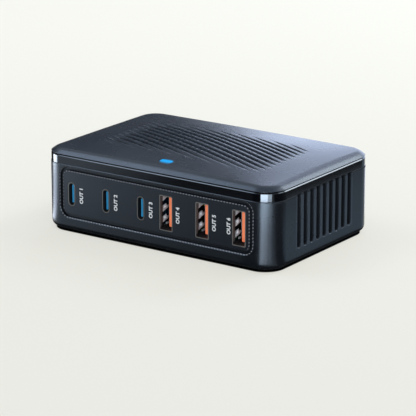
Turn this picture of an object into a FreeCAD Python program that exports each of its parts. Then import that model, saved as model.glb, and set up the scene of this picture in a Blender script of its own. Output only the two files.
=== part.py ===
import FreeCAD, Part
import math
import os

V = FreeCAD.Vector

# Outer body, all sizes in millimetres
body_width = 102.0
body_depth = 67.4
corner_radius = 8.4
wall = 2.8
floor_thickness = 2.2
housing_height = 25.1
bottom_round = 2.4
rim_bevel = 0.25
fit_gap = 0.15

# Rubber feet, pressed into shallow pockets
foot_diameter = 9.0
foot_proud = 0.8
foot_pocket = 0.6
foot_inset = 10.5

# Glossy band between the housing and the cover
band_height = 3.5
band_inset = 0.15
band_bevel = 0.4
reveal_height = 0.3
reveal_depth = 1.2

# Pillow-shaped cover with a skirt that drops into the housing
cover_inset = 0.2
cover_rim = 1.6
cover_crown = 2.3
cover_wall = 2.2
cover_edge = 0.2
bevel_run_x = 2.6
bevel_run_y = 2.0
bevel_rise = 1.65
bevel_shares = (-0.1, 2.0)
skirt_wall = 1.4
skirt_depth = 2.5
lug_length = 8.0
lug_height = 1.0
lug_reach = 0.5
lug_below_rim = 1.5
lug_back_x = 30.0
lug_side_y = 23.5

# Diagonal grooves in the cover
groove_pitch = 2.92
groove_angle = -21.5
groove_radius = 1.0
groove_depth = 0.95
groove_field_width = 72.0
groove_field_depth = 40.8
groove_field_y = -1.2
groove_runout = 0.1
groove_shortest = 12.0

# Upright grooves in the two side walls
slot_count = 9
slot_pitch = 4.17
slot_width = 2.0
slot_depth = 1.4
slot_bottom = 5.5
slot_flare = 0.75
slot_bevel = 0.35

# Front panel and its seat in the front wall
panel_side_margin = 8.4
panel_bottom_margin = 5.1
panel_top_margin = 0.8
panel_corner = 3.8
panel_border = 1.45
panel_draft = 0.4
panel_lip = 0.4
panel_drop = 1.0
panel_set_back = 0.1
panel_seat = 1.9
panel_ledge = 1.2
panel_gap = 0.1

# Socket rows on the front panel
port_pitch = 15.73
usb_c_first_x = -37.35
usb_a_first_x = 5.35
ports_per_kind = 3
port_height = 14.2
port_gap = 0.12
port_set_back = 0.1
sheet = 0.3
leg_width = 1.4
leg_inset = 1.2
leg_spacing = 3.0
leg_below_board = 0.8
leg_gap = 0.2

# Type C socket
usb_c_width = 8.94
usb_c_thickness = 3.26
usb_c_length = 8.4
usb_c_tongue_width = 6.7
usb_c_tongue_thickness = 0.7
usb_c_tongue_set_back = 0.9
usb_c_rear_block = 2.4
usb_c_flange_width = 4.4
usb_c_flange = 1.2
usb_c_contacts = 12
usb_c_contact_pitch = 0.5
usb_c_contact = V(0.06, 4.0, 0.25)

# Type A socket; each spring slot is a height and the length of its leg
usb_a_width = 13.1
usb_a_thickness = 5.7
usb_a_length = 14.0
usb_a_corner = 0.6
usb_a_tongue_width = 11.1
usb_a_tongue_thickness = 1.84
usb_a_tongue_offset = 0.6
usb_a_tongue_set_back = 2.6
usb_a_rear_block = 3.5
usb_a_flange = 1.0
usb_a_contact_z = (-3.5, -1.0, 1.0, 3.5)
usb_a_contact = V(0.15, 6.5, 1.0)
spring_slots = ((-4.6, 0.0), (-0.6, 1.8), (3.4, 1.8))
spring_start = 1.2
spring_length = 4.6
spring_slot = 1.9
spring_rise = 0.3
dimple_radius = 1.1
dimple_height = 0.4
insulator_gap = 0.05

# Light pipe and status light
pipe_inset = 7.6
pipe_pill = (5.6, 2.2)
pipe_flange = (7.2, 3.6)
pipe_rod = (2.4, 2.0)
pipe_flange_thickness = 0.8
pipe_gap = 0.06
pipe_over_led = 0.3
led_size = V(2.0, 1.25, 0.8)

# Circuit boards
board_thickness = 1.6
board_lift = 3.0
board_edge_gap = 0.5
boss_diameter = 5.0
boss_inset_x = 4.2
boss_front_inset = 8.4
boss_back_inset = 4.4
screw_length = 5.0
screw_head_diameter = 3.8
screw_head = 1.5
screw_pilot = 1.7
screw_gap = 0.05
board_hole = 2.3
daughter_size = V(0.8, 20.0, 13.4)
daughter_place = (22.4, 2.0)
chip_size = V(0.8, 4.0, 4.0)
chip_lift = 4.5

# Mains inlet, a two-pin figure eight
inlet_x = 30.0
inlet_lift = 15.2
inlet_width = 21.0
inlet_height = 11.0
inlet_length = 16.0
inlet_set_back = 0.2
inlet_corner = 1.0
inlet_well_radius = 4.1
inlet_well_waist = 6.8
inlet_well_depth = 12.0
inlet_pin_pitch = 8.6
inlet_pin_diameter = 2.4
inlet_pin_length = 9.5
inlet_tail = 1.0
inlet_tail_gap = 0.2

# Power parts on the main board: size, then place across and along the board
fuse_size = V(4.3, 8.4, 7.7)
fuse_place = (43.2, 17.0)
varistor_diameter = 10.0
varistor_thickness = 4.4
varistor_place = (43.2, 5.0)
choke_outer = 7.0
choke_inner = 3.6
choke_height = 7.0
choke_wire = 1.2
choke_wrap = 130.0
choke_gap = 0.1
choke_place = (32.0, 7.5)
x_capacitor_size = V(18.0, 7.0, 13.0)
x_capacitor_place = (6.0, 24.2)
y_capacitor_diameter = 7.0
y_capacitor_thickness = 2.6
y_capacitor_place = (10.0, 18.6)
heat_sink_size = V(20.0, 1.5, 15.0)
heat_sink_place = (35.0, -6.9)
bridge_size = V(14.0, 3.5, 13.0)
gan_switch_size = V(5.0, 1.0, 6.0)
bulk_diameter = 16.0
bulk_height = 17.5
bulk_places = ((-34.0, 18.5), (-17.0, 18.5))
polymer_diameter = 6.3
polymer_height = 8.5
polymer_first = (-17.5, -9.0)
polymer_pitch = (7.2, 7.0)
polymer_grid = (2, 3)
buck_size = V(6.5, 5.6, 4.0)
buck_y = -15.4
controller_size = V(4.0, 4.0, 0.9)
controller_first = (27.0, -10.0)
controller_pitch = 7.5
controller_count = 3

# Transformer and boost inductor: ferrite frame with a coil through its two windows
wound_lift = 1.5
wound_height = 15.0
wound_plate = 3.4
wound_gap = 0.2
coil_round = 2.0
transformer_size = (27.0, 20.0)
transformer_post = 10.0
transformer_leg = 3.2
transformer_coil_reach = 3.8
transformer_place = (8.0, 2.0)
boost_size = (20.0, 14.0)
boost_post = 7.0
boost_leg = 2.4
boost_coil_reach = 2.8
boost_place = (-33.0, -1.5)

# Heat spreaders, pads and insulation
spreader_thickness = 0.8
upper_spreader_margin_x = 4.2
upper_spreader_front = 14.9
upper_spreader_back = 2.0
pad_thickness = 1.9
pad_margin = 2.0
lower_spreader_margin_x = 8.2
lower_spreader_margin_y = 4.0
insulation_thickness = 0.4

# Levels and inner limits worked out from the sizes above
half_x = body_width / 2
half_y = body_depth / 2
inner_x = half_x - wall
inner_y = half_y - wall
face_y = -half_y
base_z = foot_proud
floor_z = base_z + floor_thickness
rim_z = base_z + housing_height
cover_z = rim_z + band_height
board_bottom = floor_z + board_lift
board_z = board_bottom + board_thickness
port_z = base_z + port_height
inlet_z = base_z + inlet_lift
pipe_y = face_y + pipe_inset
wound_top = board_z + wound_lift + wound_height
usb_c_x = [usb_c_first_x + port_pitch * i for i in range(ports_per_kind)]
usb_a_x = [usb_a_first_x + port_pitch * i for i in range(ports_per_kind)]
boss_x = inner_x - boss_inset_x
boss_front_y = -inner_y + boss_front_inset
boss_back_y = inner_y - boss_back_inset
boss_places = [(sx * boss_x, y) for sx in (-1, 1) for y in (boss_front_y, boss_back_y)]
panel_width = body_width - 2 * panel_side_margin
panel_low = base_z + panel_bottom_margin
panel_high = rim_z - panel_top_margin
panel_tall = panel_high - panel_low
panel_z = (panel_high + panel_low) / 2

# Modelling allowances: how far tools reach past a face, and how far a full round stops short of meeting
overlap = 0.2
round_stop = 0.01
least_round = 0.1
same_level = 1e-4
mostly_along = 0.9


def rounded(block, radius, axis):
    """Round the edges of a block that run along one axis (x, y or z)."""
    if radius <= 0:
        return block
    along = [e for e in block.Edges if abs(getattr(e.tangentAt(e.FirstParameter), axis)) > mostly_along]
    return block.makeFillet(radius, along)


def slab(width, depth, low, high, radius=0.0, x=0.0, y=0.0):
    """Upright block centred on x, y with rounded upright edges."""
    block = Part.makeBox(width, depth, high - low, V(x - width / 2, y - depth / 2, low))
    return rounded(block, radius, "z")


def bar(width, height, front, back, radius=0.0, x=0.0, z=0.0):
    """Block that runs from front to back, centred on x, z, with rounded long edges."""
    block = Part.makeBox(width, back - front, height, V(x - width / 2, front, z - height / 2))
    return rounded(block, radius, "y")


def post(diameter, low, high, x, y):
    """Upright round post."""
    return Part.makeCylinder(diameter / 2, high - low, V(x, y, low))


def standing(size, place, lift=0.0):
    """Plain block that stands on the main board."""
    return slab(size.x, size.y, board_z + lift, board_z + lift + size.z, 0.0, place[0], place[1])


def body_outline(inset, low, high):
    """Block with the plan of the charger, drawn in by an inset."""
    radius = max(corner_radius - inset, 0.5)
    return slab(body_width - 2 * inset, body_depth - 2 * inset, low, high, radius)


def edges_at(shape, level):
    """Edges of a shape that lie flat at one height."""
    boxes = [(e, e.BoundBox) for e in shape.Edges]
    return [e for e, box in boxes if max(abs(box.ZMin - level), abs(box.ZMax - level)) < same_level]


def crown_height(x, y):
    """Height of the cover's outer surface over a point of the plan."""
    return cover_z + cover_rim + cover_crown * (1 - (x / half_x) ** 2) * (1 - (y / half_y) ** 2)


def above_crown(drop=0.0):
    """Everything above the cover's crowned surface, which is lowered by a drop."""
    surface = Part.BezierSurface()
    surface.increase(2, 2)
    for i in range(3):
        for j in range(3):
            lift = 4 * cover_crown if i == 1 and j == 1 else 0.0
            pole = V((i - 1) * half_x, (j - 1) * half_y, cover_z + cover_rim - drop + lift)
            surface.setPole(i + 1, j + 1, pole)
    return surface.toShape().extrude(V(0, 0, cover_rim + cover_crown + cover_wall))


def slot_wire(x, y, grow):
    """Outline of one upright groove at a place x: round lower end and a top that flares between rounded ribs."""
    half = slot_width / 2 + grow
    low = base_z + slot_bottom - grow
    flare_z = rim_z - slot_flare
    wide = half + slot_flare
    bend = slot_flare * math.sqrt(0.5)
    edges = [
        Part.Arc(V(x, y - half, low + half), V(x, y, low), V(x, y + half, low + half)),
        Part.LineSegment(V(x, y + half, low + half), V(x, y + half, flare_z)),
        Part.Arc(V(x, y + half, flare_z), V(x, y + wide - bend, flare_z + bend), V(x, y + wide, rim_z)),
        Part.LineSegment(V(x, y + wide, rim_z), V(x, y - wide, rim_z)),
        Part.Arc(V(x, y - wide, rim_z), V(x, y - wide + bend, flare_z + bend), V(x, y - half, flare_z)),
        Part.LineSegment(V(x, y - half, flare_z), V(x, y - half, low + half)),
    ]
    return Part.Wire([e.toShape() for e in edges])


def slot_cutter(y, side):
    """Tools for one upright groove: its channel and the bevel round its mouth."""
    channel = Part.Face(slot_wire(half_x - slot_depth, y, 0.0)).extrude(V(slot_depth + overlap, 0, 0))
    reach = slot_bevel + overlap
    wires = [slot_wire(half_x - slot_bevel, y, 0.0), slot_wire(half_x + overlap, y, reach)]
    tools = [channel, Part.makeLoft(wires, True, True)]
    if side < 0:
        tools = [tool.mirror(V(0, 0, 0), V(1, 0, 0)) for tool in tools]
    return tools


def slot_cutters():
    """Grooves of both side walls."""
    middle = (slot_count - 1) / 2
    places = [(i - middle) * slot_pitch for i in range(slot_count)]
    return [tool for y in places for side in (-1, 1) for tool in slot_cutter(y, side)]


def lugs(grow=0.0):
    """Snap lugs on the cover's skirt, or their pockets when grown."""
    low = rim_z - lug_below_rim - lug_height / 2 - grow
    high = rim_z - lug_below_rim + lug_height / 2 + grow
    length = lug_length + 2 * grow
    deep = 2 * (lug_reach + grow)
    blocks = []
    for sx in (-1, 1):
        for sy in (-1, 1):
            blocks.append(slab(deep, length, low, high, 0.0, sx * inner_x, sy * lug_side_y))
        blocks.append(slab(length, deep, low, high, 0.0, sx * lug_back_x, inner_y))
    return blocks


def foot_places():
    """Centres of the four feet."""
    return [(sx * (half_x - foot_inset), sy * (half_y - foot_inset)) for sx in (-1, 1) for sy in (-1, 1)]


def panel_outline(inset, front, back):
    """Block with the outline of the panel's opening, drawn in by an inset."""
    return bar(panel_width - 2 * inset, panel_tall - 2 * inset, front, back, panel_corner - inset, 0.0, panel_z)


def front_wire(block):
    """Outline of the frontmost face of a block."""
    return min(block.Faces, key=lambda f: f.CenterOfMass.y).OuterWire


def panel_mouth():
    """Tool for the bevel round the mouth of the panel's opening."""
    wide = panel_outline(-panel_lip - overlap, face_y - overlap, face_y)
    tight = panel_outline(0.0, face_y + panel_lip, face_y + panel_seat)
    return Part.makeLoft([front_wire(wide), front_wire(tight)], True, True)


def lower_housing():
    """Moulded tub: floor, walls, side grooves, panel seat, inlet opening and board bosses."""
    outer = body_outline(0.0, base_z, rim_z)
    outer = outer.makeFillet(bottom_round, edges_at(outer, base_z))
    outer = outer.makeChamfer(rim_bevel, edges_at(outer, rim_z))
    tub = outer.cut(body_outline(wall, floor_z, rim_z + overlap))
    tub = tub.cut(slot_cutters())
    tub = tub.cut([panel_outline(0.0, face_y - overlap, face_y + panel_seat), panel_mouth()])
    window = panel_outline(panel_ledge, face_y, -inner_y + overlap)
    inlet_hole = bar(inlet_width + 2 * fit_gap, inlet_height + 2 * fit_gap, inner_y - overlap, half_y + overlap,
                     inlet_corner, inlet_x, inlet_z)
    tub = tub.cut([window, inlet_hole] + lugs(fit_gap))
    tub = tub.cut([post(foot_diameter, base_z - overlap, base_z + foot_pocket, x, y) for x, y in foot_places()])
    bosses = [post(boss_diameter, floor_z - overlap, board_bottom, x, y) for x, y in boss_places]
    tub = tub.fuse(bosses)
    pilot_low = board_z - screw_length - overlap
    return tub.cut([post(screw_pilot, pilot_low, board_bottom + overlap, x, y) for x, y in boss_places])


def trim_band():
    """Glossy ring with a bevelled top edge and a raised inner shoulder that carries the cover."""
    edge_z = cover_z - reveal_height
    ring = body_outline(band_inset, rim_z, edge_z)
    ring = ring.makeChamfer(band_bevel, edges_at(ring, edge_z))
    ring = ring.fuse(body_outline(band_inset + reveal_depth, rim_z, cover_z)).removeSplitter()
    return ring.cut(body_outline(wall, rim_z - overlap, cover_z + overlap))


def groove_ends(offset):
    """First and last point of one groove line inside the field, as lengths along the line."""
    angle = math.radians(groove_angle)
    start_x = -math.sin(angle) * offset
    start_y = math.cos(angle) * offset
    half_w = groove_field_width / 2
    half_d = groove_field_depth / 2
    across = sorted(((s * half_w - start_x) / math.cos(angle)) for s in (-1, 1))
    along = sorted(((s * half_d - start_y) / math.sin(angle)) for s in (-1, 1))
    return max(across[0], along[0]), min(across[1], along[1])


def groove_cutter(offset, longest):
    """Round tool swept on a flat arc: deepest at the middle of its line and run out at both ends."""
    angle = math.radians(groove_angle)
    first, last = groove_ends(offset)
    depth = groove_depth * (last - first) / longest
    points = []
    for length, lift in ((first, groove_runout), ((first + last) / 2, -depth), (last, groove_runout)):
        x = math.cos(angle) * length - math.sin(angle) * offset
        y = math.sin(angle) * length + math.cos(angle) * offset + groove_field_y
        points.append(V(x, y, crown_height(x, y) + lift + groove_radius))
    arc = Part.Arc(points[0], points[1], points[2]).toShape()
    circle = Part.Circle(points[0], arc.tangentAt(arc.FirstParameter), groove_radius)
    circle.XAxis = V(0, 0, 1)
    return Part.Wire(arc).makePipe(Part.Face(Part.Wire(circle.toShape())))


def groove_cutters():
    """Tools for all the grooves that are long enough to show."""
    angle = math.radians(groove_angle)
    reach = (groove_field_width * abs(math.sin(angle)) + groove_field_depth * math.cos(angle)) / 2
    count = int(reach / groove_pitch)
    offsets = [i * groove_pitch for i in range(-count, count + 1)]
    spans = {offset: groove_ends(offset) for offset in offsets}
    lengths = {offset: span[1] - span[0] for offset, span in spans.items()}
    longest = max(lengths.values())
    return [groove_cutter(offset, longest) for offset in offsets if lengths[offset] > groove_shortest]


def edge_bevel():
    """Tool for the sloped edge of the cover, which starts outside its wall and ends over its crown."""
    levels = [cover_z + cover_edge + share * bevel_rise for share in bevel_shares]
    wires = []
    for share, level in zip(bevel_shares, levels):
        inset_x, inset_y = cover_inset + share * bevel_run_x, cover_inset + share * bevel_run_y
        radius = corner_radius - (inset_x + inset_y) / 2
        block = slab(body_width - 2 * inset_x, body_depth - 2 * inset_y, level, level + overlap, radius)
        wires.append(min(block.Faces, key=lambda f: f.CenterOfMass.z).OuterWire)
    return body_outline(-overlap, levels[0], levels[1]).cut(Part.makeLoft(wires, True, True))


def top_cover():
    """Crowned cover with a sloped edge, run-out grooves, a hole for the light pipe, a skirt and snap lugs."""
    top_z = cover_z + cover_rim + cover_crown
    shell = body_outline(cover_inset, cover_z, top_z + overlap).cut([above_crown(), edge_bevel()])
    skirt_inset = wall + fit_gap
    shell = shell.fuse(body_outline(skirt_inset, rim_z - skirt_depth, cover_z + overlap))
    reach = [lug.common(body_outline(inner_lug_limit(), rim_z - skirt_depth, rim_z)) for lug in lugs()]
    shell = shell.fuse(reach)
    hollow = body_outline(skirt_inset + skirt_wall, rim_z - skirt_depth - overlap, top_z)
    shell = shell.cut(hollow.cut(above_crown(cover_wall)))
    shell = shell.cut(groove_cutters())
    hole = (pipe_pill[0] + 2 * pipe_gap, pipe_pill[1] + 2 * pipe_gap)
    return shell.cut(slab(hole[0], hole[1], cover_z - overlap, top_z, hole[1] / 2 - round_stop, 0.0, pipe_y))


def inner_lug_limit():
    """Inset of the plane that the lugs reach inside the housing wall."""
    return wall - lug_reach


def port_panel():
    """Front insert: raised face in a moat, flange on the seat and six socket openings."""
    flange = panel_outline(panel_gap, face_y + panel_drop, face_y + panel_seat)
    foot = panel_outline(panel_gap + panel_border - panel_draft, face_y + panel_drop, face_y + panel_seat)
    flat = panel_outline(panel_gap + panel_border, face_y + panel_set_back, face_y + panel_drop)
    raised = Part.makeLoft([front_wire(foot), front_wire(flat)], True, True)
    back = panel_outline(panel_ledge + panel_gap, face_y + panel_seat - overlap, -inner_y)
    panel = raised.fuse([flange, back]).removeSplitter()
    holes = [socket_hole(x, usb_c_thickness, usb_c_width, usb_c_thickness / 2) for x in usb_c_x]
    holes += [socket_hole(x, usb_a_thickness, usb_a_width, usb_a_corner) for x in usb_a_x]
    return panel.cut(holes)


def socket_hole(x, thickness, width, corner):
    """Opening of the panel round one upright socket shell."""
    grow = 2 * port_gap
    radius = min(corner + port_gap, (thickness + grow) / 2 - round_stop)
    return bar(thickness + grow, width + grow, face_y - overlap, -inner_y + overlap, radius, x, port_z)


def leg_places(x, thickness, length):
    """Centres of the four legs under one socket shell."""
    side = (thickness - sheet) / 2
    rear = face_y + port_set_back + length - leg_inset
    return [(x + s * side, y) for s in (-1, 1) for y in (rear, rear - leg_spacing)]


def shell_legs(x, thickness, length, top):
    """Four sheet legs from the flat sides of a shell down through the board."""
    low = board_bottom - leg_below_board
    return [slab(sheet, leg_width, low, top, 0.0, px, py) for px, py in leg_places(x, thickness, length)]


def socket_sleeve(x, thickness, width, length, corner):
    """Bent sheet sleeve of one upright socket, open at both ends."""
    front = face_y + port_set_back
    radius = min(corner, thickness / 2 - round_stop)
    outer = bar(thickness, width, front, front + length, radius, x, port_z)
    inner_radius = max(radius - sheet, least_round)
    return outer.cut(bar(thickness - 2 * sheet, width - 2 * sheet, front - overlap, front + length + overlap,
                         inner_radius, x, port_z))


def usb_c_shell(x):
    """Steel sleeve of a type C socket with its legs."""
    sleeve = socket_sleeve(x, usb_c_thickness, usb_c_width, usb_c_length, usb_c_thickness / 2)
    legs = shell_legs(x, usb_c_thickness, usb_c_length, port_z - usb_c_width / 4)
    return sleeve.fuse(legs).removeSplitter()


def usb_c_body(x):
    """Insulator of a type C socket: tongue, rear block and a flange that stands on the board."""
    front = face_y + port_set_back
    back = front + usb_c_length
    loose = 2 * (sheet + insulator_gap)
    tongue = bar(usb_c_tongue_thickness, usb_c_tongue_width, front + usb_c_tongue_set_back, back,
                 usb_c_tongue_thickness / 4, x, port_z)
    block_thickness = usb_c_thickness - loose
    block = bar(block_thickness, usb_c_width - loose, back - usb_c_rear_block, back + overlap,
                block_thickness / 2 - round_stop, x, port_z)
    flange_top = port_z + usb_c_width / 2
    flange = slab(usb_c_flange_width, usb_c_flange, board_z, flange_top, 0.0, x, back + usb_c_flange / 2)
    return tongue.fuse([block, flange]).removeSplitter()


def usb_c_contact_set(x):
    """Two rows of contact strips on the faces of the tongue."""
    size = usb_c_contact
    front = face_y + port_set_back + usb_c_tongue_set_back + size.z
    side = (usb_c_tongue_thickness + size.x) / 2
    first_z = port_z - usb_c_contact_pitch * (usb_c_contacts - 1) / 2
    heights = [first_z + usb_c_contact_pitch * i for i in range(usb_c_contacts)]
    strips = [bar(size.x, size.z, front, front + size.y, 0.0, x + s * side, z) for s in (-1, 1) for z in heights]
    return Part.makeCompound(strips)


def spring_cutter(x, z, leg):
    """Slanted cut through both broad walls of a type A sleeve, with a downward leg at its inner end."""
    first = face_y + port_set_back + spring_start
    last = first + spring_length
    turn = last - spring_slot
    low = z - (spring_slot + spring_rise * spring_length) / 2
    outline = [(first, low), (turn, low + spring_rise * (turn - first)), (turn, z - leg), (last, z - leg),
               (last, low + spring_rise * spring_length + spring_slot), (first, low + spring_slot)]
    points = [V(x - usb_a_thickness, y, height) for y, height in outline]
    return Part.Face(Part.makePolygon(points + points[:1])).extrude(V(2 * usb_a_thickness, 0, 0))


def spring_dimple(x, z, side):
    """Round bump that a type A spring presses on the plug with."""
    wall_x = usb_a_thickness / 2 - sheet
    y = face_y + port_set_back + spring_start + spring_length / 2
    ball = Part.makeSphere(dimple_radius, V(x + side * (wall_x + dimple_radius - dimple_height), y, z))
    return ball.common(bar(2 * wall_x + sheet, 2 * dimple_radius, y - dimple_radius, y + dimple_radius, 0.0, x, z))


def usb_a_shell(x):
    """Steel sleeve of a type A socket with slanted springs in its broad walls and its legs."""
    sleeve = socket_sleeve(x, usb_a_thickness, usb_a_width, usb_a_length, usb_a_corner)
    sleeve = sleeve.cut([spring_cutter(x, port_z + z, leg) for z, leg in spring_slots])
    heights = [port_z + z for z, leg in spring_slots]
    middles = [(low + high) / 2 for low, high in zip(heights, heights[1:])]
    dimples = [spring_dimple(x, z, s) for z in middles for s in (-1, 1)]
    legs = shell_legs(x, usb_a_thickness, usb_a_length, port_z - usb_a_width / 4)
    return sleeve.fuse(dimples + legs).removeSplitter()


def usb_a_body(x):
    """Insulator of a type A socket: tongue, rear block and a flange that stands on the board."""
    front = face_y + port_set_back
    back = front + usb_a_length
    loose = 2 * (sheet + insulator_gap)
    tongue = bar(usb_a_tongue_thickness, usb_a_tongue_width, front + usb_a_tongue_set_back, back,
                 usb_a_tongue_thickness / 8, x + usb_a_tongue_offset, port_z)
    block = bar(usb_a_thickness - loose, usb_a_width - loose, back - usb_a_rear_block, back + overlap,
                usb_a_corner - sheet, x, port_z)
    flange_top = port_z + usb_a_width / 2
    flange = slab(usb_a_thickness, usb_a_flange, board_z, flange_top, 0.0, x, back + usb_a_flange / 2)
    return tongue.fuse([block, flange]).removeSplitter()


def usb_a_contact_set(x):
    """Contact strips on the open side of the tongue."""
    size = usb_a_contact
    front = face_y + port_set_back + usb_a_tongue_set_back + size.z
    side_x = x + usb_a_tongue_offset - (usb_a_tongue_thickness + size.x) / 2
    strips = [bar(size.x, size.z, front, front + size.y, 0.0, side_x, port_z + z) for z in usb_a_contact_z]
    return Part.makeCompound(strips)


def light_pipe():
    """Clear pill flush with the crown, a flange under the cover and a rod down to the status light."""
    top_z = cover_z + cover_rim + cover_crown
    flange_low = cover_z - pipe_flange_thickness
    pill = slab(pipe_pill[0], pipe_pill[1], cover_z, top_z, pipe_pill[1] / 2 - round_stop, 0.0, pipe_y)
    pill = pill.cut(above_crown())
    under_cover = above_crown(cover_wall + pipe_gap)
    flange = slab(pipe_flange[0], pipe_flange[1], flange_low, top_z, 0.0, 0.0, pipe_y).cut(under_cover)
    rod_low = board_z + led_size.z + pipe_over_led
    rod = slab(pipe_rod[0], pipe_rod[1], rod_low, cover_z, 0.0, 0.0, pipe_y)
    return pill.fuse([flange, rod]).removeSplitter()


def main_board():
    """Board with corner screw holes and slots for the socket legs and inlet tails."""
    gap = wall + board_edge_gap
    board = body_outline(gap, board_bottom, board_z)
    low = board_bottom - overlap
    high = board_z + overlap
    holes = [post(board_hole, low, high, x, y) for x, y in boss_places]
    legs = [p for x in usb_c_x for p in leg_places(x, usb_c_thickness, usb_c_length)]
    legs += [p for x in usb_a_x for p in leg_places(x, usb_a_thickness, usb_a_length)]
    holes += [slab(sheet + 2 * leg_gap, leg_width + 2 * leg_gap, low, high, 0.0, x, y) for x, y in legs]
    tail = inlet_tail + 2 * inlet_tail_gap
    holes += [slab(tail, tail, low, high, 0.0, x, tail_y()) for x in inlet_pin_x()]
    return board.cut(holes)


def board_screws():
    """Four pan-head screws through the board into the bosses."""
    screws = []
    for x, y in boss_places:
        shank = post(screw_pilot - 2 * screw_gap, board_z - screw_length, board_z, x, y)
        screws.append(shank.fuse(post(screw_head_diameter, board_z, board_z + screw_head, x, y)).removeSplitter())
    return Part.makeCompound(screws)


def inlet_pin_x():
    """Places of the two inlet pins across the charger."""
    return [inlet_x + s * inlet_pin_pitch / 2 for s in (-1, 1)]


def tail_y():
    """Place of the pin tails behind the inlet body."""
    return half_y - inlet_set_back - inlet_length - inlet_tail_gap - inlet_tail / 2


def mains_inlet():
    """Inlet body with a figure-eight well, standing on the board."""
    back = half_y - inlet_set_back
    front = back - inlet_length
    body = bar(inlet_width, inlet_height, front, back, inlet_corner, inlet_x, inlet_z)
    foot_back = inner_y - fit_gap - board_edge_gap
    foot = slab(inlet_width, foot_back - front, board_z, inlet_z, 0.0, inlet_x, (front + foot_back) / 2)
    body = body.fuse(foot).removeSplitter()
    well_front = back - inlet_well_depth
    well = [cylinder_y(inlet_well_radius, well_front, back + overlap, x, inlet_z) for x in inlet_pin_x()]
    well.append(bar(inlet_pin_pitch, inlet_well_waist, well_front, back + overlap, 0.0, inlet_x, inlet_z))
    bore = inlet_pin_diameter / 2 + insulator_gap
    well += [cylinder_y(bore, front - overlap, back, x, inlet_z) for x in inlet_pin_x()]
    return body.cut(well)


def cylinder_y(radius, front, back, x, z):
    """Round bar that runs from front to back."""
    return Part.makeCylinder(radius, back - front, V(x, front, z), V(0, 1, 0))


def inlet_pins():
    """Two round pins with tails that go down through the board."""
    back = half_y - inlet_set_back - inlet_well_depth + inlet_pin_length
    front = tail_y()
    pins = []
    for x in inlet_pin_x():
        pin = cylinder_y(inlet_pin_diameter / 2, front, back, x, inlet_z)
        tail = slab(inlet_tail, inlet_tail, board_bottom - leg_below_board, inlet_z, 0.0, x, front)
        pins.append(pin.fuse(tail).removeSplitter())
    return Part.makeCompound(pins)


def disc_standing(diameter, thickness, place, axis):
    """Disc that stands on its rim on the board, with its axis across or along."""
    lift = board_z + diameter / 2
    start = V(place[0], place[1], lift) - axis * (thickness / 2)
    return Part.makeCylinder(diameter / 2, thickness, start, axis)


def choke_core():
    """Ferrite ring of the common-mode choke."""
    low = board_z + choke_wire + choke_gap
    ring = post(2 * choke_outer, low, low + choke_height, choke_place[0], choke_place[1])
    bore = post(2 * choke_inner, low - overlap, low + choke_height + overlap, choke_place[0], choke_place[1])
    return ring.cut(bore)


def choke_windings():
    """Two wire wraps on opposite arcs of the ring."""
    low = board_z
    grow = choke_wire
    high = low + choke_height + 2 * (choke_wire + choke_gap)
    frame = [(choke_inner - grow - choke_gap, low), (choke_outer + grow + choke_gap, high)]
    core = [(choke_inner - choke_gap, low + grow), (choke_outer + choke_gap, high - grow)]
    faces = []
    for (r0, z0), (r1, z1) in (frame, core):
        points = [V(r0, 0, z0), V(r1, 0, z0), V(r1, 0, z1), V(r0, 0, z1)]
        faces.append(Part.Face(Part.makePolygon(points + points[:1])))
    section = faces[0].cut(faces[1])
    wraps = []
    for turn in (0, 180):
        wrap = section.revolve(V(0, 0, 0), V(0, 0, 1), choke_wrap).Solids[0]
        wrap.rotate(V(0, 0, 0), V(0, 0, 1), turn - choke_wrap / 2)
        wrap.translate(V(choke_place[0], choke_place[1], 0))
        wraps.append(wrap)
    return Part.makeCompound(wraps)


def wound_core(size, leg, post_width, place):
    """Ferrite frame: top and bottom plates, two outer legs and a middle post."""
    low = board_z + wound_lift
    core = slab(size[0], size[1], low, low + wound_height, 0.0, place[0], place[1])
    window = size[0] / 2 - leg - post_width / 2
    middle = post_width / 2 + window / 2
    for side in (-1, 1):
        core = core.cut(slab(window, size[1] + 2 * overlap, low + wound_plate, low + wound_height - wound_plate,
                             0.0, place[0] + side * middle, place[1]))
    return core


def wound_coil(size, leg, post_width, reach, place):
    """Coil round the middle post, through both windows."""
    low = board_z + wound_lift + wound_plate + wound_gap
    high = board_z + wound_lift + wound_height - wound_plate - wound_gap
    width = size[0] - 2 * leg - 2 * wound_gap
    outer = slab(width, size[1] + 2 * reach, low, high, coil_round, place[0], place[1])
    return outer.cut(slab(post_width + 2 * wound_gap, size[1] + 2 * wound_gap, low - overlap, high + overlap, 0.0,
                          place[0], place[1]))


def wound_base(size, place):
    """Plastic base under a ferrite frame."""
    return standing(V(size[0], size[1], wound_lift), place)


def heat_sink():
    """Upright aluminium plate."""
    return standing(heat_sink_size, heat_sink_place)


def on_heat_sink(size, end):
    """Package that stands against the heat sink's rear face at its left (-1) or right (+1) end."""
    x = heat_sink_place[0] + end * (heat_sink_size.x - size.x) / 2
    y = heat_sink_place[1] + (heat_sink_size.y + size.y) / 2
    return standing(size, (x, y))


def control_chip():
    """Controller package on the face of the daughter board."""
    x = daughter_place[0] + (daughter_size.x + chip_size.x) / 2
    return standing(chip_size, (x, daughter_place[1] - daughter_size.y / 4), chip_lift)


def output_capacitors():
    """Grid of polymer capacitors."""
    cans = []
    for i in range(polymer_grid[0]):
        for j in range(polymer_grid[1]):
            x = polymer_first[0] + i * polymer_pitch[0]
            y = polymer_first[1] + j * polymer_pitch[1]
            cans.append(post(polymer_diameter, board_z, board_z + polymer_height, x, y))
    return Part.makeCompound(cans)


def buck_inductors():
    """One moulded inductor behind each socket."""
    return Part.makeCompound([standing(buck_size, (x, buck_y)) for x in usb_c_x + usb_a_x])


def port_controllers():
    """Row of flat controller chips."""
    places = [(controller_first[0] + controller_pitch * i, controller_first[1]) for i in range(controller_count)]
    return Part.makeCompound([standing(controller_size, place) for place in places])


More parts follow.
